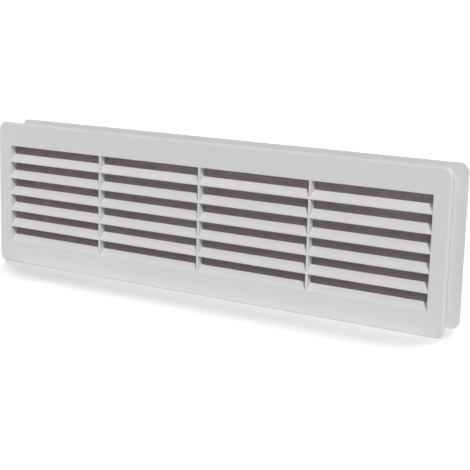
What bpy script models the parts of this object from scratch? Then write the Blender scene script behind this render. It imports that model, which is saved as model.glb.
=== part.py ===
"""Two-sided louvred ventilation grille for a door leaf.

Two white plastic mouldings face each other through a rectangular hole in the door.
Each has a plate with a rounded rim, a field of sloping louvres and a collar behind it.
The collar of the front moulding slides inside the collar of the rear one, so that the
pair takes door leaves of different thickness, and four screws draw the two together.
A fine dark gauze lies on the backs of the front slats.

Units are metres. X runs along the width, +Y runs from the front plate to the rear one,
+Z is up, and the origin is under the middle of the grille, on the surface it stands on.
"""

import math

import bmesh
import bpy

# Plates
PLATE_WIDTH = 0.455
PLATE_HEIGHT = 0.133
PLATE_THICKNESS = 0.0025
PLATE_CORNER_RADIUS = 0.0075
RIM_LAND = 0.0005
CORNER_STEPS = 6
RIM_STEPS = 4

# Door leaf that the grille is shown set for, and how far the halves close from there
DOOR_GAP = 0.0306
CLOSING_TRAVEL = 0.0026

# Collars behind the plates
COLLAR_INSET = 0.0125
COLLAR_WALL = 0.0016
COLLAR_CORNER_RADIUS = 0.003
COLLAR_CLEARANCE = 0.0004
COLLAR_LEAD_IN = 0.0006
COLLAR_END_CLEARANCE = 0.0008
REAR_COLLAR_END_CLEARANCE = 0.0035
COLLAR_STEPS = 3

# Louvre field
BAYS = 4
SLOTS = 6
FIELD_STEP = 0.0002
SLAT_DEPTH = 0.007
SLAT_RISE = 0.0074
SLAT_NOSE = 0.0016
SLAT_NOSE_CHAMFER = 0.0004
SLAT_TAIL = 0.002
DIVIDER_THICKNESS = 0.0018
RIB_THICKNESS = 0.0016
RIB_BOSS_CLEARANCE = 0.0012
SILL_BOSS_CLEARANCE = 0.0006

# Gauze behind the front louvres
GAUZE_SEAT = 0.0003
GAUZE_THICKNESS = 0.0005
GAUZE_EDGE_CLEARANCE = 0.0006
GAUZE_RIDGE_HEIGHT = 0.00025
GAUZE_RIDGES = 72
GAUZE_GAP_COLUMNS = 24
GAUZE_GAP_ROWS = 5
GAUZE_GAP_SIZE = 0.0024

# Screws and the bosses that take them
BOSS_SIDE_INSET = 0.0245
BOSS_WALL = 0.0014
BOSS_COVER = 0.0002
BOSS_FLOOR = 0.0045
SCREW_RADIUS = 0.0015
SCREW_TIP = 0.003
SCREW_TIP_RADIUS = 0.0004
SCREW_TIP_CLEARANCE = 0.0034
SCREW_HEAD_RADIUS = 0.0033
SCREW_HEAD_HEIGHT = 0.0018
SCREW_HEAD_EDGE = 0.0003
SCREW_SINK = 0.0001
SCREW_CLEARANCE = 0.0003
RECESS_LENGTH = 0.0036
RECESS_WIDTH = 0.0009
RECESS_DEPTH = 0.0012
ROUND_STEPS = 24

# Overshoot of cutters past the surface that they open
OVERSHOOT = 0.001

# Largest angle between faces that are still shaded as one round surface
SMOOTH_ANGLE = math.radians(35)

# Sizes that follow: the whole, and the depth where what stands behind a plate starts
GRILLE_DEPTH = DOOR_GAP + 2 * PLATE_THICKNESS
RIM_RADIUS = PLATE_THICKNESS - RIM_LAND
ROOT_DEPTH = PLATE_THICKNESS / 2

# Front collar, and the rear one that passes round it
COLLAR_WIDTH = PLATE_WIDTH - 2 * COLLAR_INSET
COLLAR_HEIGHT = PLATE_HEIGHT - 2 * COLLAR_INSET
COLLAR_STEP = COLLAR_CLEARANCE + COLLAR_WALL
REAR_COLLAR_WIDTH = COLLAR_WIDTH + 2 * COLLAR_STEP
REAR_COLLAR_HEIGHT = COLLAR_HEIGHT + 2 * COLLAR_STEP
REAR_COLLAR_CORNER_RADIUS = COLLAR_CORNER_RADIUS + COLLAR_STEP
CLOSED_DEPTH = GRILLE_DEPTH - CLOSING_TRAVEL
FRONT_COLLAR_DEPTH = CLOSED_DEPTH - SLAT_DEPTH - COLLAR_END_CLEARANCE
REAR_COLLAR_DEPTH = CLOSED_DEPTH - PLATE_THICKNESS - REAR_COLLAR_END_CLEARANCE

# Screws, whose tips stay clear of the floors of their bores when the halves are closed
BORE_RADIUS = SCREW_RADIUS + SCREW_CLEARANCE
BOSS_RADIUS = BORE_RADIUS + BOSS_WALL
BOSS_X = PLATE_WIDTH / 2 - BOSS_SIDE_INSET
BOSS_Z = COLLAR_HEIGHT / 2 - BOSS_COVER - BOSS_RADIUS
SCREW_LENGTH = CLOSED_DEPTH - SCREW_SINK - BOSS_FLOOR - SCREW_TIP_CLEARANCE

# Louvre field between the upper and the lower bosses, measured from the plate's centre
SLAT_SLOPE = (SLAT_RISE - SLAT_TAIL) / SLAT_DEPTH
FIELD_TOP = BOSS_Z - BOSS_RADIUS - RIB_BOSS_CLEARANCE - RIB_THICKNESS
SILL_ROOT = SILL_BOSS_CLEARANCE + BOSS_RADIUS - BOSS_Z
FIELD_BOTTOM = SILL_ROOT - SLAT_SLOPE * ROOT_DEPTH
SLOT_PITCH = (FIELD_TOP - FIELD_BOTTOM) / SLOTS
SILL_BACK = FIELD_BOTTOM + SLAT_RISE
SILL_UNDER = SILL_BACK - SLAT_TAIL


def clear_scene():
    """Remove every object of the open file."""
    for item in list(bpy.data.objects):
        bpy.data.objects.remove(item, do_unlink=True)


def make_material(name, colour, roughness, metallic=0.0):
    """Return a Principled material of one plain finish."""
    material = bpy.data.materials.new(name)
    material.use_nodes = True
    shader = material.node_tree.nodes["Principled BSDF"]
    shader.inputs["Base Color"].default_value = (*colour, 1.0)
    shader.inputs["Roughness"].default_value = roughness
    shader.inputs["Metallic"].default_value = metallic
    return material


def new_object(name, bm):
    """Turn a bmesh into a linked object with its faces pointing out."""
    bmesh.ops.recalc_face_normals(bm, faces=bm.faces)
    mesh = bpy.data.meshes.new(name)
    bm.to_mesh(mesh)
    bm.free()
    item = bpy.data.objects.new(name, mesh)
    bpy.context.scene.collection.objects.link(item)
    return item


def rounded_rectangle(width, height, radius, steps):
    """Return the (x, z) points of a rectangle with round corners."""
    points = []
    for quarter, (sign_x, sign_z) in enumerate(((1, 1), (-1, 1), (-1, -1), (1, -1))):
        centre_x = sign_x * (width / 2 - radius)
        centre_z = sign_z * (height / 2 - radius)
        for step in range(steps + 1):
            angle = math.pi / 2 * (quarter + step / steps)
            x = centre_x + radius * math.cos(angle)
            z = centre_z + radius * math.sin(angle)
            points.append((x, z))
    return points


def add_rings(bm, rings):
    """Add rings of (x, y, z) points to a bmesh and join each to the next one."""
    made = [[bm.verts.new(point) for point in ring] for ring in rings]
    for first, second in zip(made, made[1:]):
        join_rings(bm, first, second)
    return made


def join_rings(bm, first, second):
    """Close the strip between two rings with as many points as each other."""
    count = len(first)
    for index in range(count):
        following = (index + 1) % count
        bm.faces.new((first[index], first[following], second[following], second[index]))


def ring_at(outline, y):
    """Lift an (x, z) outline to the depth y."""
    return [(x, y, z) for x, z in outline]


def plate_body(name):
    """Plate with its rounded rim: the face at y = 0, the back at the plate's thickness."""
    rings = []
    for step in range(RIM_STEPS + 1):
        angle = math.pi / 2 * step / RIM_STEPS
        inset = RIM_RADIUS * (1 - math.sin(angle))
        outline = rounded_rectangle(
            PLATE_WIDTH - 2 * inset,
            PLATE_HEIGHT - 2 * inset,
            PLATE_CORNER_RADIUS - inset,
            CORNER_STEPS,
        )
        rings.append(ring_at(outline, RIM_RADIUS * (1 - math.cos(angle))))
    rings.append(ring_at(outline, PLATE_THICKNESS))
    bm = bmesh.new()
    made = add_rings(bm, rings)
    bm.faces.new(made[0])
    bm.faces.new(made[-1])
    return new_object(name, bm)


def inset_rectangle(width, height, radius, inset):
    """Return the corner-rounded outline that lies inside a collar's outer one."""
    return rounded_rectangle(
        width - 2 * inset, height - 2 * inset, radius - inset, COLLAR_STEPS
    )


def collar_body(name, width, height, radius, depth):
    """Rectangular collar that stands behind the plate, with a lead-in round its end."""
    outer = inset_rectangle(width, height, radius, 0.0)
    lead_in = inset_rectangle(width, height, radius, COLLAR_LEAD_IN / 2)
    inner = inset_rectangle(width, height, radius, COLLAR_WALL)
    bm = bmesh.new()
    made = add_rings(
        bm,
        [
            ring_at(outer, ROOT_DEPTH),
            ring_at(outer, depth - COLLAR_LEAD_IN),
            ring_at(lead_in, depth),
            ring_at(inner, depth),
            ring_at(inner, ROOT_DEPTH),
        ],
    )
    join_rings(bm, made[-1], made[0])
    return new_object(name, bm)


def add_prism(bm, profile, x_start, x_end):
    """Add the prism of a (y, z) profile between two x positions to a bmesh."""
    rings = [[(x, y, z) for y, z in profile] for x in (x_start, x_end)]
    made = add_rings(bm, rings)
    bm.faces.new(made[0])
    bm.faces.new(made[-1])


def louvre_block(name, half_width):
    """Solid from which the slots are cut, down to the sill that slopes up and back."""
    profile = [
        (ROOT_DEPTH, FIELD_TOP + RIB_THICKNESS),
        (SLAT_DEPTH, FIELD_TOP + RIB_THICKNESS),
        (SLAT_DEPTH, SILL_UNDER),
        (ROOT_DEPTH, SILL_ROOT),
    ]
    bm = bmesh.new()
    add_prism(bm, profile, -half_width, half_width)
    return new_object(name, bm)


def bay_limits(field_half_width):
    """Return the two x limits of each bay between the dividers."""
    dividers = BAYS - 1
    width = (2 * field_half_width - dividers * DIVIDER_THICKNESS) / BAYS
    limits = []
    for bay in range(BAYS):
        start = -field_half_width + bay * (width + DIVIDER_THICKNESS)
        limits.append((start, start + width))
    return limits


def slot_profile(slot):
    """Outline of one slot in (y, z), between the slat above it and the slat below."""
    top = FIELD_TOP - slot * SLOT_PITCH
    bottom = top - SLOT_PITCH
    tail_top = top if slot == 0 else top + SLAT_RISE - SLAT_TAIL
    back = SLAT_DEPTH + OVERSHOOT
    nose_run = SLAT_NOSE_CHAMFER * SLAT_DEPTH / (SLAT_RISE - SLAT_NOSE)
    return [
        (-OVERSHOOT, top),
        (0.0, top),
        (SLAT_DEPTH, tail_top),
        (back, tail_top),
        (back, bottom + SLAT_RISE),
        (SLAT_DEPTH, bottom + SLAT_RISE),
        (nose_run, bottom + SLAT_NOSE + SLAT_NOSE_CHAMFER / 2),
        (0.0, bottom + SLAT_NOSE - SLAT_NOSE_CHAMFER / 2),
        (-OVERSHOOT, bottom + SLAT_NOSE - SLAT_NOSE_CHAMFER / 2),
    ]


def slot_cutter(name, field_half_width):
    """All slots of the field, as separate prisms of one cutter."""
    bm = bmesh.new()
    for start, end in bay_limits(field_half_width):
        for slot in range(SLOTS):
            add_prism(bm, slot_profile(slot), start, end)
    return new_object(name, bm)


def boss_places():
    """Return the (x, z) centre of each screw, counted round the plate."""
    return [(sign_x * BOSS_X, sign_z * BOSS_Z) for sign_z in (1, -1) for sign_x in (-1, 1)]


def add_turned(bm, profile, x, z):
    """Add a body turned about the line through (x, z) along Y, from (radius, y) points."""
    rings = []
    for radius, y in profile:
        ring = []
        for step in range(ROUND_STEPS):
            angle = 2 * math.pi * step / ROUND_STEPS
            ring.append((x + radius * math.cos(angle), y, z + radius * math.sin(angle)))
        rings.append(ring)
    made = add_rings(bm, rings)
    bm.faces.new(made[0])
    bm.faces.new(made[-1])


def turned_bodies(name, profile, places):
    """Return one object with the same turned body at each place."""
    bm = bmesh.new()
    for x, z in places:
        add_turned(bm, profile, x, z)
    return new_object(name, bm)


def boss_profile():
    """Screw boss, from inside the plate to the end of the front collar."""
    end = FRONT_COLLAR_DEPTH - COLLAR_LEAD_IN
    return [(BOSS_RADIUS, ROOT_DEPTH), (BOSS_RADIUS, end)]


def bore_profile():
    """Blind bore in a screw boss."""
    return [(BORE_RADIUS, BOSS_FLOOR), (BORE_RADIUS, FRONT_COLLAR_DEPTH + OVERSHOOT)]


def screw_hole_profile():
    """Countersunk hole through the rear plate, clear of the screw all round."""
    head = SCREW_HEAD_RADIUS + SCREW_CLEARANCE
    edge = SCREW_SINK + SCREW_HEAD_EDGE + SCREW_CLEARANCE
    seat = SCREW_SINK + SCREW_HEAD_HEIGHT + SCREW_CLEARANCE
    return [
        (head, -OVERSHOOT),
        (head, edge),
        (BORE_RADIUS, seat),
        (BORE_RADIUS, PLATE_THICKNESS + OVERSHOOT),
    ]


def combine(item, tool, operation):
    """Join or cut an object with a tool by an exact Boolean, and delete the tool."""
    modifier = item.modifiers.new(operation.lower(), "BOOLEAN")
    modifier.operation = operation
    modifier.object = tool
    modifier.solver = "EXACT"
    graph = bpy.context.evaluated_depsgraph_get()
    result = bpy.data.meshes.new_from_object(item.evaluated_get(graph))
    item.modifiers.clear()
    item.data = result
    bpy.data.objects.remove(tool, do_unlink=True)


def finish_object(item, parent, material):
    """Hang a sub-part on its half of the grille and give it its finish."""
    item.parent = parent
    item.data.materials.clear()
    item.data.materials.append(material)
    item.data.shade_smooth()
    item.data.set_sharp_from_angle(angle=SMOOTH_ANGLE)


def grille_moulding(name, collar_width, collar_height, collar_radius, collar_depth):
    """Plate, collar and louvre field of one half, moulded in one piece."""
    collar_inner = collar_width / 2 - COLLAR_WALL
    field_half_width = collar_inner - FIELD_STEP
    item = plate_body(name)
    collar = collar_body("collar", collar_width, collar_height, collar_radius, collar_depth)
    combine(item, collar, "UNION")
    block = louvre_block("louvre block", collar_inner + COLLAR_WALL / 2)
    combine(item, block, "UNION")
    combine(item, slot_cutter("slots", field_half_width), "DIFFERENCE")
    return item


def front_grille(parent, material):
    """Front moulding, with the four bosses that the screws are driven into."""
    item = grille_moulding(
        "front_grille",
        COLLAR_WIDTH,
        COLLAR_HEIGHT,
        COLLAR_CORNER_RADIUS,
        FRONT_COLLAR_DEPTH,
    )
    combine(item, turned_bodies("bosses", boss_profile(), boss_places()), "UNION")
    combine(item, turned_bodies("bores", bore_profile(), boss_places()), "DIFFERENCE")
    finish_object(item, parent, material)


def rear_grille(parent, material):
    """Rear moulding, whose plate has the four countersunk screw holes."""
    item = grille_moulding(
        "rear_grille",
        REAR_COLLAR_WIDTH,
        REAR_COLLAR_HEIGHT,
        REAR_COLLAR_CORNER_RADIUS,
        REAR_COLLAR_DEPTH,
    )
    holes = turned_bodies("screw holes", screw_hole_profile(), boss_places())
    combine(item, holes, "DIFFERENCE")
    finish_object(item, parent, material)


def gauze_outline(width, front, back):
    """Section of the gauze in (x, y): ridges in front, a flat back."""
    pitch = width / GAUZE_RIDGES
    points = []
    for ridge in range(GAUZE_RIDGES):
        start = -width / 2 + ridge * pitch
        points.append((start, front + GAUZE_RIDGE_HEIGHT))
        points.append((start + pitch / 2, front))
    points.append((width / 2, front + GAUZE_RIDGE_HEIGHT))
    points.append((width / 2, back))
    points.append((-width / 2, back))
    return points


def gauze_gap_cutter(name, width, front, back):
    """Pattern of square gaps that stands for the open weave."""
    column_pitch = width / GAUZE_GAP_COLUMNS
    row_pitch = (FIELD_TOP + RIB_THICKNESS - SILL_UNDER) / GAUZE_GAP_ROWS
    bm = bmesh.new()
    for column in range(GAUZE_GAP_COLUMNS):
        x = -width / 2 + (column + 0.5) * column_pitch
        for row in range(GAUZE_GAP_ROWS):
            z = SILL_UNDER + (row + 0.5) * row_pitch
            low = z - GAUZE_GAP_SIZE / 2
            high = z + GAUZE_GAP_SIZE / 2
            profile = [
                (front - OVERSHOOT, low),
                (front - OVERSHOOT, high),
                (back + OVERSHOOT, high),
                (back + OVERSHOOT, low),
            ]
            add_prism(bm, profile, x - GAUZE_GAP_SIZE / 2, x + GAUZE_GAP_SIZE / 2)
    return new_object(name, bm)


def dust_screen(parent, material):
    """Fine gauze on the backs of the front slats, with a pattern of open gaps."""
    width = COLLAR_WIDTH - 2 * (COLLAR_WALL + GAUZE_EDGE_CLEARANCE)
    front = SLAT_DEPTH + GAUZE_SEAT
    back = front + GAUZE_RIDGE_HEIGHT + GAUZE_THICKNESS
    outline = gauze_outline(width, front, back)
    ends = (SILL_UNDER, FIELD_TOP + RIB_THICKNESS)
    bm = bmesh.new()
    made = add_rings(bm, [[(x, y, z) for x, y in outline] for z in ends])
    bm.faces.new(made[0])
    bm.faces.new(made[-1])
    item = new_object("dust_screen", bm)
    combine(item, gauze_gap_cutter("gaps", width, front, back), "DIFFERENCE")
    finish_object(item, parent, material)


def screw_mesh():
    """Countersunk screw along +Y, with its head at y = 0 and a cross recess in it."""
    profile = [
        (SCREW_HEAD_RADIUS, 0.0),
        (SCREW_HEAD_RADIUS, SCREW_HEAD_EDGE),
        (SCREW_RADIUS, SCREW_HEAD_HEIGHT),
        (SCREW_RADIUS, SCREW_LENGTH - SCREW_TIP),
        (SCREW_TIP_RADIUS, SCREW_LENGTH),
    ]
    screw = turned_bodies("screw", profile, [(0.0, 0.0)])
    for length, width in ((RECESS_LENGTH, RECESS_WIDTH), (RECESS_WIDTH, RECESS_LENGTH)):
        bm = bmesh.new()
        recess = [
            (-OVERSHOOT, -width / 2),
            (-OVERSHOOT, width / 2),
            (RECESS_DEPTH, width / 2),
            (RECESS_DEPTH, -width / 2),
        ]
        add_prism(bm, recess, -length / 2, length / 2)
        combine(screw, new_object("recess", bm), "DIFFERENCE")
    mesh = screw.data
    bpy.data.objects.remove(screw, do_unlink=True)
    return mesh


def screws(parent, material):
    """Four screws in the holes of the rear plate, seated just below its face."""
    mesh = screw_mesh()
    names = ("screw_upper_right", "screw_upper_left", "screw_lower_right", "screw_lower_left")
    for name, (x, z) in zip(names, boss_places()):
        item = bpy.data.objects.new(name, mesh)
        bpy.context.scene.collection.objects.link(item)
        item.location = (x, SCREW_SINK, z)
        finish_object(item, parent, material)


def half_empty(name, y, turn):
    """Empty in the middle of a plate's face, turned so that its +Y runs inwards."""
    empty = bpy.data.objects.new(name, None)
    bpy.context.scene.collection.objects.link(empty)
    empty.empty_display_size = PLATE_HEIGHT / 4
    empty.location = (0.0, y, PLATE_HEIGHT / 2)
    empty.rotation_euler = (0.0, 0.0, turn)
    return empty


def main():
    """Build the two halves, the gauze and the screws."""
    clear_scene()
    front_plastic = make_material("front plastic", (0.78, 0.78, 0.79), 0.42)
    rear_plastic = make_material("rear plastic", (0.77, 0.77, 0.78), 0.42)
    gauze = make_material("gauze", (0.28, 0.23, 0.23), 0.9)
    zinc = make_material("zinc plated steel", (0.62, 0.62, 0.64), 0.35, 1.0)
    front_half = half_empty("front half", -GRILLE_DEPTH / 2, 0.0)
    rear_half = half_empty("rear half", GRILLE_DEPTH / 2, math.pi)
    front_grille(front_half, front_plastic)
    dust_screen(front_half, gauze)
    rear_grille(rear_half, rear_plastic)
    screws(rear_half, zinc)


main()
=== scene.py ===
"""Looks of a two-sided louvred ventilation grille for a door leaf.

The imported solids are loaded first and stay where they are. Both mouldings are made again in
their places with soft edges and a moulded grain, the gauze becomes a real weave, and the
screws get their thread and cross recess. A pale floor, studio light and a camera follow.

Lengths are in metres, and angles that are fields or arguments are in degrees. X runs along the
width, +Y from the front plate to the rear one, +Z is up. Each half is first built in a frame
of its own: the face of its plate lies at y = 0, +y runs inwards, and z is measured from the
middle of the plate.
"""

import logging
import math
from dataclasses import dataclass
from enum import Enum
from typing import Iterable, Mapping, Sequence

import bmesh
import bpy
from mathutils import Matrix, Vector


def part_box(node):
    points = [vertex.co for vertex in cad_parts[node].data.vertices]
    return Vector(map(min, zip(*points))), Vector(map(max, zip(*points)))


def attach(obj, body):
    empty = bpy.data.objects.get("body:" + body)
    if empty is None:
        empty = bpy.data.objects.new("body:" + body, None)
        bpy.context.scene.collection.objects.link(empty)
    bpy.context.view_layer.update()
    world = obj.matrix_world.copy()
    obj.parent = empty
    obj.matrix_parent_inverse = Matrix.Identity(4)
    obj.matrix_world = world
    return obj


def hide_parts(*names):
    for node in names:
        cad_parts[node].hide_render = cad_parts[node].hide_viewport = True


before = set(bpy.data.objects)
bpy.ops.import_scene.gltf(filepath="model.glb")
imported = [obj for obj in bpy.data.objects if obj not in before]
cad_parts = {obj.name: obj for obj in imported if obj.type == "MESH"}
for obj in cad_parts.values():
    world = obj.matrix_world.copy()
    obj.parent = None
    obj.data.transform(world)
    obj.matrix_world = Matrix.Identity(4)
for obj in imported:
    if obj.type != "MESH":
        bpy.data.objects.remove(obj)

LOG = logging.getLogger("door_grille")

Colour = tuple[float, float, float]
Outline = list[tuple[float, float]]
Ring = list[tuple[float, float, float]]
Span = tuple[float, float]
Item = bpy.types.Object
Socket = bpy.types.NodeSocket

WHITE = (1.0, 1.0, 1.0, 1.0)

# How far a cutter reaches past what it cuts
OVERSHOOT = 0.001

# Octaves of the two noises that every finish shares
NOISE_DETAIL = {"Grain": 2.0, "Flow": 1.0}


class Half(Enum):
    """The two halves of the grille, by the body that each one is."""

    FRONT = "front_half"
    REAR = "rear_half"

    def to_world(self, face_y: float, middle_z: float) -> Matrix:
        """Give the matrix that takes a mesh of this half to its place in the shared frame."""
        turn = math.pi if self is Half.REAR else 0.0
        return Matrix.Translation((0.0, face_y, middle_z)) @ Matrix.Rotation(turn, 4, "Z")


class Cut(Enum):
    """What a tool does to the piece that it is combined with."""

    JOIN = "UNION"
    REMOVE = "DIFFERENCE"


def rounded_rectangle(width: float, height: float, radius: float, steps: int) -> Outline:
    """Draw a rectangle with round corners about the origin.

    Args:
        width: Size along x.
        height: Size along z.
        radius: Radius of its corners.
        steps: Number of facets in each corner.

    Returns:
        Its (x, z) points, counted from the middle of the right side upwards.
    """
    points = []
    for quarter, (sign_x, sign_z) in enumerate(((1, 1), (-1, 1), (-1, -1), (1, -1))):
        for step in range(steps + 1):
            angle = math.pi / 2 * (quarter + step / steps)
            x = sign_x * (width / 2 - radius) + radius * math.cos(angle)
            z = sign_z * (height / 2 - radius) + radius * math.sin(angle)
            points.append((x, z))
    return points


def full_turn(steps: int) -> list[float]:
    """Give the angles, in radians, of equal steps round a circle."""
    return [2 * math.pi * step / steps for step in range(steps)]


def at_depth(outline: Outline, y: float) -> Ring:
    """Lift an (x, z) outline to the depth y."""
    return [(x, y, z) for x, z in outline]


def prism(profile: Outline, start: float, end: float) -> list[Ring]:
    """Give the rings of the prism of a (y, z) profile between two x positions."""
    return [[(x, y, z) for y, z in profile] for x in (start, end)]


def turned(profile: Outline, steps: int, centre: Span = (0.0, 0.0)) -> list[Ring]:
    """Give the rings of a body turned about a line along Y.

    Args:
        profile: Its (radius, y) points.
        steps: Number of facets round the axis.
        centre: The (x, z) place of the axis.

    Returns:
        One ring for each point of the profile.
    """
    x, z = centre
    return [
        [(x + radius * math.cos(a), y, z + radius * math.sin(a)) for a in full_turn(steps)]
        for radius, y in profile
    ]


def direction(bearing: float, height: float) -> Vector:
    """Give the way from the grille to something that stands in front of it.

    Args:
        bearing: Angle to the right of the front plate's normal, as seen from above.
        height: Angle above the floor.

    Returns:
        A vector of length 1.
    """
    aside, up = math.radians(bearing), math.radians(height)
    level = math.cos(up)
    return Vector((math.sin(aside) * level, -math.cos(aside) * level, math.sin(up)))


def link(name: str, data: bpy.types.ID) -> Item:
    """Put a mesh, a lamp or a camera in the scene.

    Args:
        name: Name of the new object.
        data: What the object holds.

    Returns:
        The object, at the origin.
    """
    item = bpy.data.objects.new(name, data)
    bpy.context.scene.collection.objects.link(item)
    return item


def as_object(name: str, bm: bmesh.types.BMesh) -> Item:
    """Turn a finished bmesh into an object with its faces pointing out.

    Args:
        name: Name of the object and its mesh.
        bm: The bmesh, which is used up.

    Returns:
        The object, at the origin.
    """
    bmesh.ops.recalc_face_normals(bm, faces=bm.faces)
    mesh = bpy.data.meshes.new(name)
    bm.to_mesh(mesh)
    bm.free()
    return link(name, mesh)


def solid(name: str, bodies: Iterable[Sequence[Ring]], endless: bool = False) -> Item:
    """Make an object of closed bodies.

    Args:
        name: The object's name.
        bodies: Rings that each body runs through, all of them with as many points.
        endless: True joins the ends of each row to each other, False caps them.

    Returns:
        The object, at the origin.
    """
    bm = bmesh.new()
    for rings in bodies:
        made = [[bm.verts.new(point) for point in ring] for ring in rings]
        following = made[1:] + made[:1] if endless else made[1:]
        for first, second in zip(made, following):
            for index in range(len(first)):
                after = (index + 1) % len(first)
                bm.faces.new((first[index], first[after], second[after], second[index]))
        if not endless:
            bm.faces.new(made[0])
            bm.faces.new(made[-1])
    return as_object(name, bm)


def apply_modifiers(item: Item) -> None:
    """Turn an object with its modifiers into a plain mesh.

    Args:
        item: The object, which keeps the result as its mesh.
    """
    graph = bpy.context.evaluated_depsgraph_get()
    result = bpy.data.meshes.new_from_object(item.evaluated_get(graph))
    item.modifiers.clear()
    item.data = result


def combine(item: Item, tool: Item, cut: Cut) -> None:
    """Join or cut an object with a tool and drop the tool.

    Args:
        item: The object that is changed.
        tool: The closed body that is added to it or taken from it.
        cut: Which of the two is done.
    """
    modifier = item.modifiers.new("combine", "BOOLEAN")
    modifier.operation = cut.value
    modifier.solver = "EXACT"
    modifier.object = tool
    apply_modifiers(item)
    bpy.data.objects.remove(tool, do_unlink=True)


class NodeTree:
    """Adds nodes to a node tree and wires them up."""

    def __init__(self, tree: bpy.types.NodeTree) -> None:
        """Keep the tree that the nodes go into."""
        self.tree = tree

    def add_socket(self, name: str, kind: str, way: str = "INPUT") -> str:
        """Add an input, or an output, to the tree itself and give its identifier."""
        kind = "NodeSocket" + kind
        return self.tree.interface.new_socket(name, in_out=way, socket_type=kind).identifier

    def feed(self, value: object, socket: Socket) -> None:
        """Give a socket its value.

        Args:
            value: A number or colour, or the output of another node.
            socket: The input that takes it.
        """
        if isinstance(value, Socket):
            self.tree.links.new(value, socket)
        else:
            socket.default_value = value

    def node(
        self, kind: str, values: Mapping[str, object] | None = None, **settings: object
    ) -> bpy.types.Node:
        """Add a node.

        Args:
            kind: Blender's name for the node.
            values: Number or output of another node for each input, by the input's name.
            settings: The node's own properties.

        Returns:
            The new node.
        """
        made = self.tree.nodes.new(kind)
        for name, value in settings.items():
            setattr(made, name, value)
        for name, value in (values or {}).items():
            self.feed(value, made.inputs[name])
        return made


class ShaderTree(NodeTree):
    """Works out numbers, colours and normals in a shader tree."""

    def math(self, operation: str, *values: object) -> Socket:
        """Work out one number from others.

        Args:
            operation: Name of the Math node's operation.
            values: Numbers or outputs of other nodes.

        Returns:
            The socket that holds the result.
        """
        made = self.node("ShaderNodeMath", operation=operation)
        for value, socket in zip(values, made.inputs):
            self.feed(value, socket)
        return made.outputs["Value"]

    def axes(self, vector: object) -> bpy.types.NodeOutputs:
        """Split a vector into its X, Y and Z."""
        return self.node("ShaderNodeSeparateXYZ", {"Vector": vector}).outputs

    def noise(self, vector: object, scale: object, detail: float) -> Socket:
        """Add a noise of 0 to 1 over a vector."""
        values = {"Vector": vector, "Scale": scale, "Detail": detail}
        return self.node("ShaderNodeTexNoise", values).outputs["Fac"]

    def spread(
        self, value: object, results: Span = (0.0, 1.0), edges: Span = (0.3, 0.7)
    ) -> Socket:
        """Spread part of a range, by default the middle of a noise, over another one.

        Args:
            value: The number that is spread.
            results: Results up to the first edge and from the second edge on.
            edges: Start and end of the part that is spread.

        Returns:
            The socket that holds the result.
        """
        names = ("To Min", "To Max", "From Min", "From Max")
        values = dict(zip(names, (*results, *edges)), Value=value)
        return self.node("ShaderNodeMapRange", values).outputs["Result"]

    def blend(self, factor: object, first: Colour, second: Colour) -> Socket:
        """Mix two colours by a factor that changes over the surface."""
        values = {"Factor": factor, "A": (*first, 1.0), "B": (*second, 1.0)}
        return self.node("ShaderNodeMix", values, data_type="RGBA").outputs["Result"]

    def seen_directly(self) -> Socket:
        """Tell rays that show a surface from rays that only light another one.

        Returns:
            The socket that holds 1 for rays that show it and 0 for others.
        """
        path = self.node("ShaderNodeLightPath").outputs
        seen = self.math("MAXIMUM", path["Is Camera Ray"], path["Is Glossy Ray"])
        return self.math("MAXIMUM", seen, path["Is Transmission Ray"])

    def bump(self, height: object, depth: float, under: object = None) -> Socket:
        """Turn a height of 0 to 1 into a normal.

        Args:
            height: Output that holds the height.
            depth: Real depth of a height of 1.
            under: Normal that this one is laid over, if there is one.

        Returns:
            The normal's socket.
        """
        values = {"Strength": 1.0, "Distance": depth, "Height": height}
        if under is not None:
            values["Normal"] = under
        return self.node("ShaderNodeBump", values).outputs["Normal"]


class MaterialTree(ShaderTree):
    """The tree of a new material round its Principled shader."""

    def __init__(self, name: str) -> None:
        """Make the material.

        Args:
            name: The material's name.
        """
        self.material = bpy.data.materials.new(name)
        self.material.use_nodes = True
        super().__init__(self.material.node_tree)
        self.surface = self.tree.nodes["Principled BSDF"].inputs
        self.place = self.node("ShaderNodeTexCoord").outputs["Object"]

    def paint(self, looks: Mapping[str, object]) -> bpy.types.Material:
        """Feed the shader's inputs.

        Args:
            looks: Number, colour or output for each input, by the input's name.

        Returns:
            The finished material.
        """
        for name, value in looks.items():
            self.feed(value, self.surface[name])
        return self.material


def surface_group() -> bpy.types.ShaderNodeTree:
    """Give the group of a fine grain and a slow unevenness, made once.

    Returns:
        A group with the outputs Grain and Flow, both from 0 to 1.
    """
    name = "grain and flow"
    if name in bpy.data.node_groups:
        return bpy.data.node_groups[name]
    shader = ShaderTree(bpy.data.node_groups.new(name, "ShaderNodeTree"))
    shader.add_socket("Place", "Vector")
    for label in NOISE_DETAIL:
        shader.add_socket(label + " Size", "Float")
        shader.add_socket(label, "Float", "OUTPUT")
    given = shader.node("NodeGroupInput").outputs
    noises = {}
    for label, detail in NOISE_DETAIL.items():
        scale = shader.math("DIVIDE", 1.0, given[label + " Size"])
        noises[label] = shader.noise(given["Place"], scale, detail)
    shader.node("NodeGroupOutput", noises)
    return shader.tree


@dataclass(frozen=True)
class Finish:
    """A finish of the grille: least and most roughness, sizes of grain and unevenness."""

    name: str
    colour: Colour
    roughness: Span
    grain_size: float
    grain_depth: float
    flow_size: float

    def uneven(self, shader: MaterialTree) -> bpy.types.NodeOutputs:
        """Place the group of grain and flow and give its outputs."""
        values = {"Place": shader.place, "Grain Size": self.grain_size, "Flow Size": self.flow_size}
        return shader.node("ShaderNodeGroup", values, node_tree=surface_group()).outputs


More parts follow.
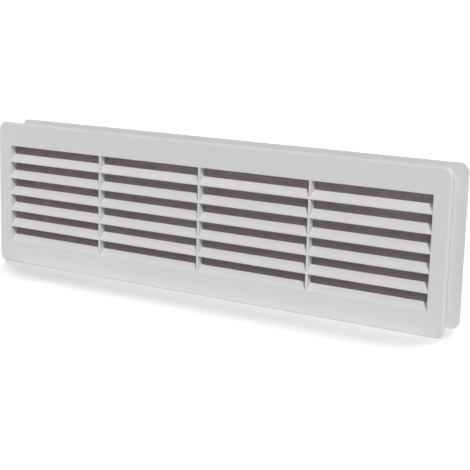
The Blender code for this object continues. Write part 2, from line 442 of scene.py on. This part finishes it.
@dataclass(frozen=True)
class MouldedPlastic(Finish):
    """Satin white plastic with a fine spark-eroded grain, and sinks over its bosses."""

    roughness: Span = (0.37, 0.47)
    grain_size: float = 0.0004
    grain_depth: float = 0.000012
    flow_size: float = 0.045
    flow_depth: float = 0.00012
    shade: float = 0.985
    sink_x: float = 0.0
    sink_z: float = 0.0
    middle_z: float = 0.0
    sink_radius: float = 0.0042
    sink_depth: float = 0.0

    def sink_height(self, shader: MaterialTree) -> Socket:
        """Work out how high the face stands round the four sinks.

        Args:
            shader: The material's tree.

        Returns:
            The socket that holds the height, 0 in the middle of a sink and 1 outside it.
        """
        axes = shader.axes(shader.place)
        across = shader.math("SUBTRACT", shader.math("ABSOLUTE", axes["X"]), self.sink_x)
        level = shader.math("ABSOLUTE", shader.math("SUBTRACT", axes["Z"], self.middle_z))
        up = shader.math("SUBTRACT", level, self.sink_z)
        squares = [shader.math("MULTIPLY", way, way) for way in (across, up)]
        away = shader.math("SQRT", shader.math("ADD", *squares))
        values = {"Value": shader.math("DIVIDE", away, self.sink_radius)}
        smooth = shader.node("ShaderNodeMapRange", values, interpolation_type="SMOOTHERSTEP")
        return smooth.outputs["Result"]

    def material(self) -> bpy.types.Material:
        """Make the plastic.

        Returns:
            The finished material.
        """
        shader = MaterialTree(self.name)
        uneven = self.uneven(shader)
        darker = tuple(channel * self.shade for channel in self.colour)
        normal = shader.bump(uneven["Flow"], self.flow_depth)
        if self.sink_depth > 0.0:
            normal = shader.bump(self.sink_height(shader), self.sink_depth, normal)
        return shader.paint(
            {
                "Base Color": shader.blend(shader.spread(uneven["Flow"]), darker, self.colour),
                "Roughness": shader.spread(uneven["Grain"], self.roughness),
                "Normal": shader.bump(uneven["Grain"], self.grain_depth, normal),
            }
        )


@dataclass(frozen=True)
class DarkGauze(Finish):
    """Dull dark threads with a fibre grain, a change of tone, and painted shade in each slot:
    darker under the slat above, paler towards the slat below.
    """

    name: str = "dark gauze"
    colour: Colour = (0.312, 0.24, 0.242)
    roughness: Span = (0.84, 0.92)
    grain_size: float = 0.00012
    grain_depth: float = 0.00003
    flow_size: float = 0.0015
    pale: Colour = (0.455, 0.367, 0.372)
    tone_size: float = 0.02
    tone_detail: float = 3.0
    sheen: float = 0.15
    sheen_roughness: float = 0.5
    thread_pitch: float = 0.0006
    weave_depth: float = 0.00015
    # Foot of the lowest slot and distance to the next, in the shared frame
    slot_foot: float = 0.0
    slot_pitch: float = 0.015
    # Gain of the tone where painted light makes it paler, at the slot's foot, and where painted
    # shade makes it darker, under the slat above, and the edges between them
    painted_shade_gains: Span = (1.22, 0.66)
    painted_shade_edges: Span = (0.48, 0.9)

    def painted_slot_shade(self, shader: MaterialTree) -> Socket:
        """Work out the painted shade of each slot: the gauze is paler towards the slat below and
        darker under the slat above.

        Args:
            shader: The material's tree.

        Returns:
            The socket that holds the gain of the tone.
        """
        height = shader.math("SUBTRACT", shader.axes(shader.place)["Z"], self.slot_foot)
        share = shader.math("FRACT", shader.math("DIVIDE", height, self.slot_pitch))
        return shader.spread(share, self.painted_shade_gains, self.painted_shade_edges)

    def crossings(self, shader: MaterialTree) -> Socket:
        """Work out the height of the weave, which rises and falls at each crossing.

        Args:
            shader: The material's tree.

        Returns:
            The socket that holds the height, from 0 to 1.
        """
        turn = math.pi / self.thread_pitch
        axes = shader.axes(shader.place)
        waves = [shader.math("SINE", shader.math("MULTIPLY", axes[axis], turn)) for axis in "XZ"]
        return shader.math("MULTIPLY_ADD", shader.math("MULTIPLY", *waves), 0.5, 0.5)

    def material(self) -> bpy.types.Material:
        """Make the gauze's material.

        Returns:
            The finished material.
        """
        shader = MaterialTree(self.name)
        uneven = self.uneven(shader)
        tone = shader.noise(shader.place, 1.0 / self.tone_size, self.tone_detail)
        mean = shader.math("MULTIPLY", shader.math("ADD", tone, uneven["Flow"]), 0.5)
        unshaded_tone = shader.blend(shader.spread(mean), self.colour, self.pale)
        # Painted shade and light: the tone is scaled darker under each slat above and paler towards
        # the slat below
        values = {"Vector": unshaded_tone, "Scale": self.painted_slot_shade(shader)}
        painted_tone = shader.node("ShaderNodeVectorMath", values, operation="SCALE")
        woven = shader.bump(self.crossings(shader), self.weave_depth)
        return shader.paint(
            {
                "Base Color": painted_tone.outputs["Vector"],
                "Roughness": shader.spread(uneven["Grain"], self.roughness),
                "Sheen Weight": self.sheen,
                "Sheen Roughness": self.sheen_roughness,
                "Normal": shader.bump(uneven["Grain"], self.grain_depth, woven),
            }
        )


@dataclass(frozen=True)
class ZincPlate(Finish):
    """Bright zinc plating with a faint change of tone."""

    name: str = "zinc plate"
    colour: Colour = (0.62, 0.62, 0.64)
    roughness: Span = (0.26, 0.42)
    grain_size: float = 0.0002
    grain_depth: float = 0.000008
    flow_size: float = 0.004
    tint: Colour = (0.66, 0.66, 0.62)

    def material(self) -> bpy.types.Material:
        """Make the plating.

        Returns:
            The finished material.
        """
        shader = MaterialTree(self.name)
        uneven = self.uneven(shader)
        return shader.paint(
            {
                "Metallic": 1.0,
                "Base Color": shader.blend(shader.spread(uneven["Flow"]), self.colour, self.tint),
                "Roughness": shader.spread(uneven["Grain"], self.roughness),
                "Normal": shader.bump(uneven["Grain"], self.grain_depth),
            }
        )


class GeometryTree(NodeTree):
    """A geometry node tree with named inputs, whose result becomes a plain mesh."""

    def __init__(self, name: str, kinds: Mapping[str, str]) -> None:
        """Start a tree that takes geometry, a finish and more values and gives geometry.

        Args:
            name: The tree's name.
            kinds: What each of the other inputs holds, by its name.
        """
        super().__init__(bpy.data.node_groups.new(name, "GeometryNodeTree"))
        kinds = {"Geometry": "Geometry", "Finish": "Material", **kinds}
        self.identifiers = {label: self.add_socket(label, kind) for label, kind in kinds.items()}
        self.add_socket("Geometry", "Geometry", "OUTPUT")
        self.given = self.node("NodeGroupInput").outputs

    def finish(self, geometry: Socket) -> None:
        """End the tree in Realize Instances and Set Material.

        Args:
            geometry: What the tree has made.
        """
        real = self.node("GeometryNodeRealizeInstances", {"Geometry": geometry})
        values = {"Geometry": real.outputs["Geometry"], "Material": self.given["Finish"]}
        dressed = self.node("GeometryNodeSetMaterial", values)
        self.node("NodeGroupOutput", {"Geometry": dressed.outputs["Geometry"]})

    def apply(self, item: Item, values: Mapping[str, object]) -> None:
        """Run the tree on an object and keep the result as its mesh.

        Args:
            item: The object whose mesh goes through the tree.
            values: Value of each named input.
        """
        modifier = item.modifiers.new(self.tree.name, "NODES")
        modifier.node_group = self.tree
        for name, value in values.items():
            modifier[self.identifiers[name]] = value
        apply_modifiers(item)


def grid_tree() -> GeometryTree:
    """Make the tree that repeats a mesh in columns and rows.

    Returns:
        A tree with the inputs Columns, Rows, Column Step and Row Step.
    """
    kinds = {"Columns": "Int", "Rows": "Int", "Column Step": "Vector", "Row Step": "Vector"}
    made = GeometryTree("grid of copies", kinds)
    lines = []
    for count, step in (("Columns", "Column Step"), ("Rows", "Row Step")):
        values = {"Count": made.given[count], "Offset": made.given[step]}
        lines.append(made.node("GeometryNodeMeshLine", values, mode="OFFSET").outputs["Mesh"])
    rows = made.node("GeometryNodeInstanceOnPoints", {"Points": lines[0], "Instance": lines[1]})
    points = made.node("GeometryNodeRealizeInstances", {"Geometry": rows.outputs["Instances"]})
    values = {"Points": points.outputs["Geometry"], "Instance": made.given["Geometry"]}
    copies = made.node("GeometryNodeInstanceOnPoints", values)
    made.finish(copies.outputs["Instances"])
    return made


def thread_tree() -> GeometryTree:
    """Make the tree that winds a thread round a screw along +Y and joins it to the shank.

    Returns:
        A tree with the inputs Radius, Turns, Length, Start, Ridge, Facets and Sides.
    """
    kinds = dict.fromkeys(("Radius", "Turns", "Length", "Start", "Ridge"), "Float")
    made = GeometryTree("screw thread", {**kinds, "Facets": "Int", "Sides": "Int"})
    given = made.given
    values = {"Resolution": given["Facets"], "Rotations": given["Turns"], "Height": given["Length"]}
    radii = dict.fromkeys(("Start Radius", "End Radius"), given["Radius"])
    helix = made.node("GeometryNodeCurveSpiral", {**values, **radii})
    values = {"Resolution": given["Sides"], "Radius": given["Ridge"]}
    section = made.node("GeometryNodeCurvePrimitiveCircle", values, mode="RADIUS")
    values = {"Curve": helix.outputs["Curve"], "Profile Curve": section.outputs["Curve"]}
    ridge = made.node("GeometryNodeCurveToMesh", {**values, "Fill Caps": True})
    offset = made.node("ShaderNodeCombineXYZ", {"Y": given["Start"]})
    values = {"Geometry": ridge.outputs["Mesh"], "Translation": offset.outputs["Vector"]}
    placed = made.node("GeometryNodeTransform", {**values, "Rotation": (-math.pi / 2, 0.0, 0.0)})
    joined = made.node("GeometryNodeJoinGeometry")
    for part in (placed.outputs["Geometry"], given["Geometry"]):
        made.feed(part, joined.inputs["Geometry"])
    made.finish(joined.outputs["Geometry"])
    return made


def stand_for(
    item: Item, material: bpy.types.Material, half: Half, nodes: Sequence[str]
) -> None:
    """Dress a finished piece and let it stand for its solids and move with its half.

    Args:
        item: The finished piece, at the origin.
        material: Its material.
        half: The half that carries it.
        nodes: The solids that it stands for.
    """
    item.data.materials.clear()
    item.data.materials.append(material)
    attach(item, half.value)
    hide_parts(*nodes)
    LOG.info("%s: %d faces, for %s", item.name, len(item.data.polygons), ", ".join(nodes))


@dataclass(frozen=True)
class LouvreField:
    """Sloping slats and dividers of one half, in the half's own frame."""

    top: float
    bottom: float
    half_width: float
    bays: int = 4
    slots: int = 6
    slat_depth: float = 0.007
    slat_rise: float = 0.0074
    slat_nose: float = 0.0016
    nose_chamfer: float = 0.0004
    slat_tail: float = 0.002
    divider: float = 0.0018
    rib: float = 0.0016

    @property
    def pitch(self) -> float:
        """Distance from slot to slot."""
        return (self.top - self.bottom) / self.slots

    @property
    def bay_width(self) -> float:
        """Clear width of a bay between its dividers."""
        return (2 * self.half_width - (self.bays - 1) * self.divider) / self.bays

    def block(self, root: float, half_width: float) -> Item:
        """Make the solid from which the slots are cut.

        Args:
            root: Depth inside the plate where the block starts.
            half_width: Half its width, to inside the walls of the collar.

        Returns:
            The block, whose sloping underside is that of the sill.
        """
        under = self.bottom + self.slat_rise - self.slat_tail
        slope = (self.slat_rise - self.slat_tail) / self.slat_depth
        profile = [
            (root, self.top + self.rib),
            (self.slat_depth, self.top + self.rib),
            (self.slat_depth, under),
            (root, under - slope * (self.slat_depth - root)),
        ]
        return solid("louvre block", [prism(profile, -half_width, half_width)])

    def slot_profile(self, slot: int) -> Outline:
        """Draw the outline of a slot, between the slat above it and the one below.

        Args:
            slot: Its number from the top, from 0 on. The roof of slot 0 is level.

        Returns:
            Its (y, z) points.
        """
        top = self.top - slot * self.pitch
        bottom = top - self.pitch
        roof = top if slot == 0 else top + self.slat_rise - self.slat_tail
        back = self.slat_depth + OVERSHOOT
        run = self.nose_chamfer * self.slat_depth / (self.slat_rise - self.slat_nose)
        nose = bottom + self.slat_nose
        return [
            (-OVERSHOOT, top),
            (0.0, top),
            (self.slat_depth, roof),
            (back, roof),
            (back, bottom + self.slat_rise),
            (self.slat_depth, bottom + self.slat_rise),
            (run, nose + self.nose_chamfer / 2),
            (0.0, nose - self.nose_chamfer / 2),
            (-OVERSHOOT, nose - self.nose_chamfer / 2),
        ]

    def cut(self, item: Item, tree: GeometryTree) -> None:
        """Cut the slots of every bay out of a moulding, the top row first.

        Args:
            item: The moulding.
            tree: The tree that repeats a slot of the first bay.
        """
        start, end = -self.half_width, self.bay_width - self.half_width
        for first, rows in ((0, 1), (1, self.slots - 1)):
            slots = solid("slots", [prism(self.slot_profile(first), start, end)])
            steps = {
                "Columns": self.bays,
                "Rows": rows,
                "Column Step": (self.bay_width + self.divider, 0.0, 0.0),
                "Row Step": (0.0, 0.0, -self.pitch),
            }
            tree.apply(slots, steps)
            combine(item, slots, Cut.REMOVE)


@dataclass(frozen=True)
class ScrewPattern:
    """Places and sizes of the screws at the corners and of the holes that they need."""

    x: float
    z: float
    radius: float = 0.0015
    clearance: float = 0.0003
    boss_wall: float = 0.0014
    boss_floor: float = 0.0045
    head_radius: float = 0.0033
    head_height: float = 0.0018
    head_edge: float = 0.0003
    sink: float = 0.0001
    facets: int = 48

    @property
    def bore(self) -> float:
        """Radius of the holes."""
        return self.radius + self.clearance

    @property
    def boss(self) -> float:
        """Radius of the bosses."""
        return self.bore + self.boss_wall

    def bodies(self, name: str, profile: Outline) -> Item:
        """Turn the same body at each of the four places."""
        places = [(x, z) for z in (self.z, -self.z) for x in (-self.x, self.x)]
        return solid(name, [turned(profile, self.facets, place) for place in places])

    def bosses(self, root: float, end: float) -> Item:
        """Make the four bosses between two depths."""
        return self.bodies("bosses", [(self.boss, root), (self.boss, end)])

    def bores(self, end: float) -> Item:
        """Make the blind bores of the bosses, open at their end."""
        profile = [(self.bore, self.boss_floor), (self.bore, end + OVERSHOOT)]
        return self.bodies("bores", profile)

    def holes(self, thickness: float) -> Item:
        """Make the countersunk holes through a plate.

        Args:
            thickness: Thickness of the plate.

        Returns:
            The body that is cut out of it.
        """
        head = self.head_radius + self.clearance
        edge = self.sink + self.head_edge + self.clearance
        seat = self.sink + self.head_height + self.clearance
        profile = [
            (head, -OVERSHOOT),
            (head, edge),
            (self.bore, seat),
            (self.bore, thickness + OVERSHOOT),
        ]
        return self.bodies("screw holes", profile)


@dataclass(frozen=True)
class GrilleMoulding:
    """Plate, collar and louvre field of one half, moulded in one piece."""

    half: Half
    node: str
    collar_inset: float
    collar_radius: float
    screws: ScrewPattern
    field_top: float
    field_bottom: float
    thickness: float = 0.0025
    corner_radius: float = 0.0075
    rim_land: float = 0.0005
    collar_wall: float = 0.0016
    lead_in: float = 0.0006
    corner_steps: int = 14
    rim_steps: int = 8
    collar_steps: int = 6
    field_step: float = 0.0004
    edge_radius: float = 0.00018
    edge_steps: int = 3
    edge_angle: float = 30.0
    flat_weight: int = 100

    @property
    def size(self) -> Vector:
        """Width, depth and height of the solid."""
        low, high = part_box(self.node)
        return high - low

    @property
    def face_y(self) -> float:
        """Where the face of the plate lies in the shared frame."""
        low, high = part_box(self.node)
        return low.y if self.half is Half.FRONT else high.y

    def plate(self) -> Item:
        """Make the plate with its rounded rim.

        Returns:
            The plate, under the name of the finished piece.
        """
        radius = self.thickness - self.rim_land
        rings = []
        for step in range(self.rim_steps + 1):
            angle = math.pi / 2 * step / self.rim_steps
            inset = radius * (1 - math.sin(angle))
            outline = rounded_rectangle(
                self.size.x - 2 * inset,
                self.size.z - 2 * inset,
                self.corner_radius - inset,
                self.corner_steps,
            )
            rings.append(at_depth(outline, radius * (1 - math.cos(angle))))
        rings.append(at_depth(outline, self.thickness))
        return solid(self.half.name.lower() + "_moulding", [rings])

    def collar_outline(self, inset: float) -> Outline:
        """Draw the collar's outline.

        Args:
            inset: How far it is set in from the collar's outer face.

        Returns:
            Its (x, z) points.
        """
        return rounded_rectangle(
            self.size.x - 2 * (self.collar_inset + inset),
            self.size.z - 2 * (self.collar_inset + inset),
            self.collar_radius - inset,
            self.collar_steps,
        )

    def collar(self) -> Item:
        """Make the collar, with a lead-in round its end.

        Returns:
            The collar, which starts inside the plate.
        """
        root = self.thickness / 2
        depth = self.size.y
        outer = self.collar_outline(0.0)
        inner = self.collar_outline(self.collar_wall)
        rings = [
            at_depth(outer, root),
            at_depth(outer, depth - self.lead_in),
            at_depth(self.collar_outline(self.lead_in / 2), depth),
            at_depth(inner, depth),
            at_depth(inner, root),
        ]
        return solid("collar", [rings], endless=True)

    def soften(self, item: Item) -> None:
        """Round the edges a little, and keep the flat faces flat in the light.

        Args:
            item: The moulding.
        """
        bevel = item.modifiers.new("soft edges", "BEVEL")
        bevel.width = self.edge_radius
        bevel.segments = self.edge_steps
        bevel.limit_method = "ANGLE"
        bevel.angle_limit = math.radians(self.edge_angle)
        bevel.use_clamp_overlap = False
        apply_modifiers(item)
        item.data.shade_smooth()
        weighted = item.modifiers.new("flat faces", "WEIGHTED_NORMAL")
        weighted.weight = self.flat_weight
        apply_modifiers(item)

    def build(self, finish: MouldedPlastic, tree: GeometryTree, slot: str) -> None:
        """Make the moulding and put it in its solid's place.

        Args:
            finish: The plastic's finish.
            tree: The tree that repeats the cutters of the louvres.
            slot: Not used.
        """
        inner = self.size.x / 2 - self.collar_inset - self.collar_wall
        field = LouvreField(self.field_top, self.field_bottom, inner - self.field_step)
        root = self.thickness / 2
        item = self.plate()
        combine(item, self.collar(), Cut.JOIN)
        reach = field.half_width + self.field_step + self.collar_wall / 2
        combine(item, field.block(root, reach), Cut.JOIN)
        field.cut(item, tree)
        if self.half is Half.FRONT:
            combine(item, self.screws.bosses(root, self.size.y - self.lead_in), Cut.JOIN)
            combine(item, self.screws.bores(self.size.y), Cut.REMOVE)
        else:
            combine(item, self.screws.holes(self.thickness), Cut.REMOVE)
        self.soften(item)
        item.data.transform(self.half.to_world(self.face_y, self.size.z / 2))
        stand_for(item, finish.material(), self.half, [self.node])


@dataclass(frozen=True)
class GauzeWeave:
    """Fine gauze on the backs of the front slats, of threads along Z and threads along X."""

    node: str = "dust_screen"
    pitch: float = 0.0006
    thread_width: float = 0.0005
    thread_height: float = 0.0004
    sides: int = 6

    def threads(self, length: float, count: int, along_x: bool, tree: GeometryTree) -> Item:
        """Lay like threads side by side about the origin.

        Args:
            length: Length of a thread.
            count: Number of threads.
            along_x: True for threads along X, False for threads along Z.
            tree: The tree that repeats a thread.

        Returns:
            The threads as one object, in the plane y = 0.
        """
        first = -self.pitch * (count - 1) / 2
        rings = []
        for end in (-length / 2, length / 2):
            ring = []
            for angle in full_turn(self.sides):
                aside = first + self.thread_width / 2 * math.cos(angle)
                y = self.thread_height / 2 * math.sin(angle)
                ring.append((end, y, aside) if along_x else (aside, y, end))
            rings.append(ring)
        item = solid("threads", [rings])
        step = (0.0, 0.0, self.pitch) if along_x else (self.pitch, 0.0, 0.0)
        steps = {"Columns": count, "Rows": 1, "Column Step": step, "Row Step": (0.0, 0.0, 0.0)}
        tree.apply(item, steps)
        return item

    def build(self, finish: DarkGauze, tree: GeometryTree) -> None:
        """Weave the gauze in its solid's box.

        Args:
            finish: The threads' finish.
            tree: The tree that repeats a thread.
        """
        low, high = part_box(self.node)
        size = high - low
        middle = (low + high) / 2
        bm = bmesh.new()
        for along_x, side in ((False, -1), (True, 1)):
            length, across = (size.x, size.z) if along_x else (size.z, size.x)
            count = int((across - self.thread_width) / self.pitch) + 1
            threads = self.threads(length, count, along_x, tree)
            depth = Vector((0.0, side * (size.y - self.thread_height) / 2, 0.0))
            threads.data.transform(Matrix.Translation(middle + depth))
            bm.from_mesh(threads.data)
            bpy.data.objects.remove(threads, do_unlink=True)
        item = as_object("gauze_weave", bm)
        stand_for(item, finish.material(), Half.FRONT, [self.node])


@dataclass(frozen=True)
class CornerScrews:
    """Four countersunk screws with a cross recess, driven in from the rear plate."""

    pattern: ScrewPattern
    face_y: float
    middle_z: float
    length: float = 0.025
    tip: float = 0.003
    core_radius: float = 0.0012
    thread_pitch: float = 0.0011
    thread_start: float = 0.003
    thread_facets: int = 24
    thread_sides: int = 4
    # Radius of the thread's section, as a share of half the height of the thread
    ridge_share: float = 1.5
    recess_length: float = 0.0036
    recess_width: float = 0.0009
    recess_depth: float = 0.0012
    # Scale of the recess's tool at its start above the head and at its floor
    recess_scales: Span = (1.3, 0.775)
    sharp_angle: float = 40.0
    nodes: tuple[str, ...] = (
        "screw_upper_right",
        "screw_upper_left",
        "screw_lower_right",
        "screw_lower_left",
    )

    def blank(self) -> Item:
        """Turn the head, shank and tip, with the head's face at y = 0.

        Returns:
            The screw without thread and recess, under the name of the finished piece.
        """
        head = self.pattern.head_radius
        edge = self.pattern.head_edge
        profile = [
            (head - edge / 2, 0.0),
            (head - edge / 8, edge / 8),
            (head, edge / 2),
            (head, edge),
            (self.core_radius, self.pattern.head_height),
            (self.core_radius, self.length - self.tip),
            (self.core_radius / 2, self.length - self.tip / 4),
            (self.core_radius / 6, self.length),
        ]
        return solid("corner_screws", [turned(profile, self.pattern.facets)])

    def recess_arm(self, along_x: bool) -> Item:
        """Make the tool of one arm of the cross recess, narrower and shorter at its floor.

        Args:
            along_x: True for the arm along X, False for the one along Z.

        Returns:
            The body that is cut out of the head.
        """
        rings = []
        for side, scale in zip((-1, 1), self.recess_scales):
            y = side * self.recess_depth
            reach = self.recess_length / 2 * scale
            half_width = self.recess_width / 2 * scale
            x, z = (reach, half_width) if along_x else (half_width, reach)
            rings.append([(x, y, z), (-x, y, z), (-x, y, -z), (x, y, -z)])
        return solid("recess", [rings])

    def build(self, finish: ZincPlate, grid: GeometryTree, thread: GeometryTree) -> None:
        """Make the four screws and put them in their solids' places.

        Args:
            finish: The plating's finish.
            grid: The tree that repeats a screw.
            thread: The tree that winds its thread.
        """
        item = self.blank()
        for along_x in (True, False):
            combine(item, self.recess_arm(along_x), Cut.REMOVE)
        threaded = self.length - self.tip - self.thread_start
        ridge = (self.pattern.radius - self.core_radius) / 2
        winding = {
            "Radius": self.core_radius + ridge / 2,
            "Turns": threaded / self.thread_pitch,
            "Length": threaded,
            "Start": self.thread_start,
            "Ridge": ridge * self.ridge_share,
            "Facets": self.thread_facets,
            "Sides": self.thread_sides,
        }
        thread.apply(item, winding)
        steps = {
            "Columns": 2,
            "Rows": 2,
            "Column Step": (2 * self.pattern.x, 0.0, 0.0),
            "Row Step": (0.0, 0.0, 2 * self.pattern.z),
        }
        grid.apply(item, steps)
        corner = Matrix.Translation((-self.pattern.x, self.pattern.sink, -self.pattern.z))
        item.data.transform(Half.REAR.to_world(self.face_y, self.middle_z) @ corner)
        item.data.shade_smooth()
        item.data.set_sharp_from_angle(angle=math.radians(self.sharp_angle))
        stand_for(item, finish.material(), Half.REAR, self.nodes)


@dataclass(frozen=True)
class DoorGrille:
    """The whole grille, with the sizes that the solids' boxes don't give."""

    collar_inset: float = 0.0125
    collar_radius: float = 0.003
    # How far the rear collar stands outside the front one
    collar_step: float = 0.002
    boss_inset: float = 0.0245
    boss_cover: float = 0.0002
    front_white: Colour = (0.68, 0.677, 0.695)
    # The rear plate's white is a little paler than the front's: painted light that makes up for the
    # dimmer light on the rear plate's bands
    rear_white_painted_paler: Colour = (0.69, 0.689, 0.694)
    sink_depth: float = 0.00008

    def screw_pattern(self) -> ScrewPattern:
        """Work out where the screws stand, from the front solid's box.

        Returns:
            The pattern of the screws.
        """
        low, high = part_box("front_grille")
        boss = ScrewPattern(0.0, 0.0).boss
        x = (high.x - low.x) / 2 - self.boss_inset
        z = (high.z - low.z) / 2 - self.collar_inset - self.boss_cover - boss
        return ScrewPattern(x, z)

    def field_limits(self) -> tuple[float, float]:
        """Work out the louvre field's limits, from the gauze's box.

        Returns:
            Its top and bottom, from the middle of the plates.
        """
        low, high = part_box("dust_screen")
        plate_low, plate_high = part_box("front_grille")
        middle = (plate_low.z + plate_high.z) / 2
        top = high.z - middle - LouvreField.rib
        bottom = low.z - middle + LouvreField.slat_tail - LouvreField.slat_rise
        return top, bottom

    def build(self) -> None:
        """Make every piece in order."""
        grid = grid_tree()
        screws = self.screw_pattern()
        top, bottom = self.field_limits()
        low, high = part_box("rear_grille")
        middle_z = (low.z + high.z) / 2
        front = MouldedPlastic(
            "front plastic",
            self.front_white,
            sink_x=screws.x,
            sink_z=screws.z,
            middle_z=middle_z,
            sink_depth=self.sink_depth,
        )
        rear = MouldedPlastic("rear plastic", self.rear_white_painted_paler)
        for half, step, finish in ((Half.FRONT, 0.0, front), (Half.REAR, self.collar_step, rear)):
            side = half.name.lower()
            inset, radius = self.collar_inset - step, self.collar_radius + step
            moulding = GrilleMoulding(half, side + "_grille", inset, radius, screws, top, bottom)
            moulding.build(finish, grid, side + "_plastic")
        pitch = (top - bottom) / LouvreField.slots
        GauzeWeave().build(DarkGauze(slot_foot=middle_z + bottom, slot_pitch=pitch), grid)
        CornerScrews(screws, high.y, middle_z).build(ZincPlate(), grid, thread_tree())


@dataclass(frozen=True)
class SoftLamp:
    """An even light from one direction, as soft as its angular width."""

    name: str
    bearing: float
    height: float
    width: float
    strength: float

    def hang(self) -> None:
        """Make the lamp and turn it to the grille."""
        data = bpy.data.lights.new(self.name, "SUN")
        data.angle = math.radians(self.width)
        data.energy = self.strength
        away = direction(self.bearing, self.height)
        link(self.name, data).rotation_euler = away.to_track_quat("Z", "Y").to_euler()


@dataclass(frozen=True)
class Studio:
    """Pale floor with a soft shadow, lamps and white surroundings."""

    floor_reach: float = 60.0
    floor_segments: int = 4
    floor_drop: float = 0.0002
    floor_roughness: float = 0.9
    floor_specular: float = 0.1
    floor_tone: float = 0.99
    tone_scale: float = 6.0
    tone_detail: float = 2.0
    # White of the floor as it lights other things and as it is seen, and its own glow
    floor_white: float = 0.85
    floor_seen: float = 0.5
    floor_glow: float = 0.675
    # Glow of the seen shadow in the middle, and how fast it rises to the right
    shadow_glow: float = 0.33
    shadow_slope: float = 0.35
    # Reach of the shadow, its way from the grille, and the hidden shares between its edges
    shadow_reach: float = 0.095
    shadow_turn: float = -30.5
    shadow_edges: Span = (0.27, 0.375)
    shadow_samples: int = 48
    # Glow that lights the plate's foot, more shade there, and the hidden shares between edges
    foot_glow: float = 0.45
    foot_shade: float = 0.06
    foot_edges: Span = (0.4, 0.5)
    lamps: tuple[SoftLamp, ...] = (
        SoftLamp("key lamp", bearing=41, height=41, width=3, strength=2.33),
        SoftLamp("front lamp", bearing=-16, height=48, width=55, strength=0.62),
        SoftLamp("back lamp", bearing=180, height=13, width=30, strength=2.4),
    )

    def glow(self, shader: MaterialTree, seen: object) -> Socket:
        """Work out how strongly the floor glows.

        Where it is seen, it is white, and darker in front of the grille, where the grille hides
        the light behind it. Close to the foot it also lights the plate from below.

        Args:
            shader: The floor's tree.
            seen: 1 for rays that show the floor, 0 for others.

        Returns:
            The socket that holds the strength.
        """
        turn = math.radians(self.shadow_turn)
        back = shader.node("ShaderNodeCombineXYZ", {"X": math.sin(turn), "Y": math.cos(turn)})
        values = {"Distance": self.shadow_reach, "Normal": back.outputs["Vector"]}
        sky = shader.node("ShaderNodeAmbientOcclusion", values, samples=self.shadow_samples)
        hidden = shader.math("SUBTRACT", 1.0, sky.outputs["AO"])
        shade = shader.spread(hidden, edges=self.shadow_edges)
        near = shader.spread(hidden, edges=self.foot_edges)
        across = shader.axes(shader.place)["X"]
        loss = self.floor_glow - self.shadow_glow
        dark = shader.math("MULTIPLY_ADD", across, -self.shadow_slope, loss)
        shown = shader.math("SUBTRACT", self.floor_glow, shader.math("MULTIPLY", shade, dark))
        shown = shader.math("MULTIPLY_ADD", near, -self.foot_shade, shown)
        lit = shader.math("MULTIPLY", near, self.foot_glow)
        unseen = shader.math("MULTIPLY", shader.math("SUBTRACT", 1.0, seen), lit)
        return shader.math("MULTIPLY_ADD", seen, shown, unseen)

    def build_floor(self) -> None:
        """Lay the white floor just under the grille."""
        shader = MaterialTree("studio floor")
        seen = shader.seen_directly()
        noise = shader.noise(shader.place, self.tone_scale, self.tone_detail)
        tone = shader.spread(noise, (self.floor_tone, 1.0))
        share = shader.math("MULTIPLY_ADD", seen, self.floor_seen / self.floor_white - 1.0, 1.0)
        level = shader.math("MULTIPLY", shader.math("MULTIPLY", share, tone), self.floor_white)
        looks = {
            "Base Color": level,
            "Roughness": self.floor_roughness,
            "Specular IOR Level": self.floor_specular,
            "Emission Color": WHITE,
            "Emission Strength": self.glow(shader, seen),
        }
        bm = bmesh.new()
        count = self.floor_segments
        bmesh.ops.create_grid(bm, x_segments=count, y_segments=count, size=self.floor_reach)
        bmesh.ops.translate(bm, verts=bm.verts, vec=(0.0, 0.0, -self.floor_drop))
        floor = as_object("studio_floor", bm)
        floor.data.materials.append(shader.paint(looks))

    def build_world(self) -> None:
        """Show white wherever the surroundings are seen, and leave the light to the lamps."""
        world = bpy.data.worlds.new("studio surroundings")
        world.use_nodes = True
        bpy.context.scene.world = world
        shader = ShaderTree(world.node_tree)
        background = world.node_tree.nodes["Background"].inputs
        shader.feed(WHITE, background["Color"])
        shader.feed(shader.seen_directly(), background["Strength"])

    def build(self) -> None:
        """Set up floor, surroundings and lamps."""
        self.build_floor()
        self.build_world()
        for lamp in self.lamps:
            lamp.hang()
        LOG.info("studio: floor, surroundings and %d lamps", len(self.lamps))


@dataclass(frozen=True)
class PhotoCamera:
    """The camera, placed by where it looks from and how it is tilted."""

    target: tuple[float, float, float] = (0.0378, -0.0178, 0.0577)
    azimuth: float = 31.82
    elevation: float = 11.17
    roll: float = 1.62
    distance: float = 0.9925
    # Start of the view, as a share of that distance
    near_share: float = 0.01
    lens: float = 90.6
    sensor: float = 36.0

    def build(self) -> None:
        """Make the camera and use it."""
        back = direction(self.azimuth, self.elevation)
        level = back.to_track_quat("Z", "Y").to_matrix().to_4x4()
        tilt = Matrix.Rotation(math.radians(self.roll), 4, "Z")
        place = Matrix.Translation(Vector(self.target) + back * self.distance)
        data = bpy.data.cameras.new("photo camera")
        data.sensor_width = self.sensor
        data.lens = self.lens
        data.clip_start = self.distance * self.near_share
        camera = link("photo camera", data)
        camera.matrix_world = place @ level @ tilt
        bpy.context.scene.camera = camera


def main() -> None:
    """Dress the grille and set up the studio."""
    logging.basicConfig(level=logging.INFO, format="%(message)s")
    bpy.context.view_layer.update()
    bpy.context.scene.view_settings.view_transform = "Standard"
    PhotoCamera().build()
    DoorGrille().build()
    Studio().build()


if __name__ == "__main__":
    main()
